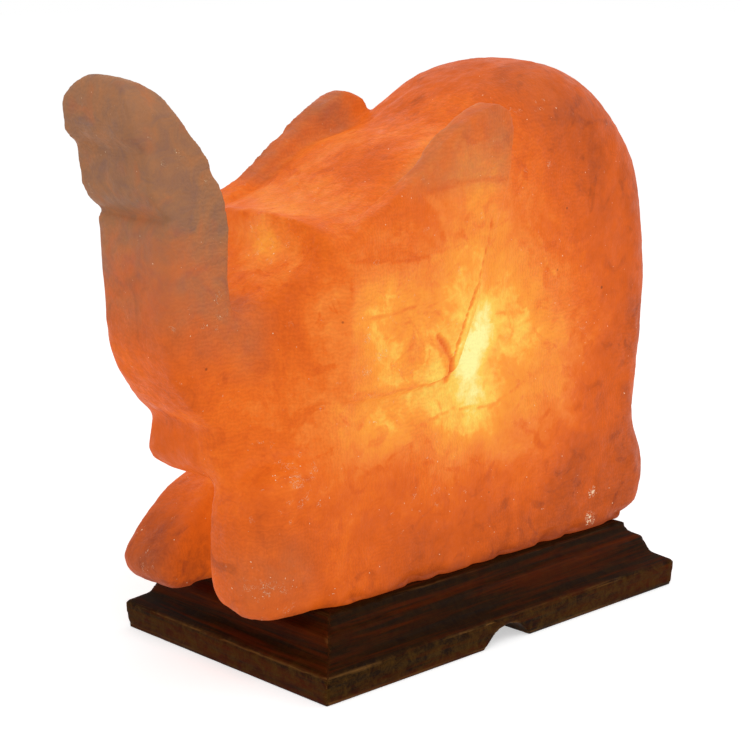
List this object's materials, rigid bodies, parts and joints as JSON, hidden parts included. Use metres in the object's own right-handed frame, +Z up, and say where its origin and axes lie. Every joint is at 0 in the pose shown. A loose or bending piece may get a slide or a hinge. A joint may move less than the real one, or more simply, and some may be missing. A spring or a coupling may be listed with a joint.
{
  "type": "salt lamp",
  "caption": "Lit rock salt lamp carved as an elephant with raised trunk, screwed to a moulded dark wood base, with a pull-out spring-clip bulb holder.",
  "frame": {"origin": "centre of the wooden base's underside, right below the bulb's axis", "axes": "+Z up along the bulb's axis, +X along the base from the elephant's head to its rump, -X where the trunk points, -Y the side with the cord notch"},
  "size_m": [0.2837, 0.127, 0.2404],
  "materials": {
    "wood": "dark satin stain",
    "salt": "sawn and filed, translucent",
    "screw_steel": "zinc plated",
    "washer_steel": "zinc plated",
    "nylon": "matt",
    "plate_steel": "zinc plated",
    "spring_steel": "blued",
    "nipple_steel": "zinc plated",
    "cap_plastic": "satin",
    "core_ceramic": "unglazed",
    "brass": "bright",
    "bulb_glass": "clear",
    "bulb_metal": "bright",
    "insulator_glass": "glossy black",
    "solder": "dull",
    "stem_glass": "clear",
    "lead_wire": "bright wire",
    "filament": "glowing"
  },
  "bodies": {
    "lamp": {"salt_elephant": "salt", "wooden_base": "wood", "base_screws": "screw_steel", "base_washers": "washer_steel", "salt_plugs": "nylon"},
    "holder": {"clip_plate": "plate_steel", "wing_spring": "spring_steel", "hollow_nipple": "nipple_steel", "lock_washer": "nipple_steel", "nipple_nut": "nipple_steel", "holder_cap": "cap_plastic", "holder_core": "core_ceramic", "holder_sleeve": "cap_plastic", "screw_shell": "brass", "centre_contact": "brass", "contact_rivet": "brass", "terminal_screws": "brass"},
    "eyelet": {"bulb_eyelet": "solder"},
    "bulb": {"bulb_glass": "bulb_glass", "bulb_cap": "bulb_metal", "bulb_insulator": "insulator_glass", "bulb_stem": "stem_glass", "bulb_leads": "lead_wire", "bulb_filament": "filament"}
  },
  "joints": [
    {"name": "holder_pull", "type": "slide", "parent": "lamp", "child": "holder", "axis": [0, 0, -1], "range_m": [0, 0.14]},
    {"name": "bulb_rise", "type": "slide", "parent": "holder", "child": "eyelet", "axis": [0, 0, 1], "range_m": [0, 0.0141]},
    {"name": "bulb_turn", "type": "hinge", "parent": "eyelet", "child": "bulb", "pos_m": [0, 0, 0.05], "axis": [0, 0, 1], "range_deg": [0, 1800]}
  ],
  "couplings": [
    {"joint": "bulb_turn", "follows": "bulb_rise", "rad_per_m": 2226.5}
  ]
}
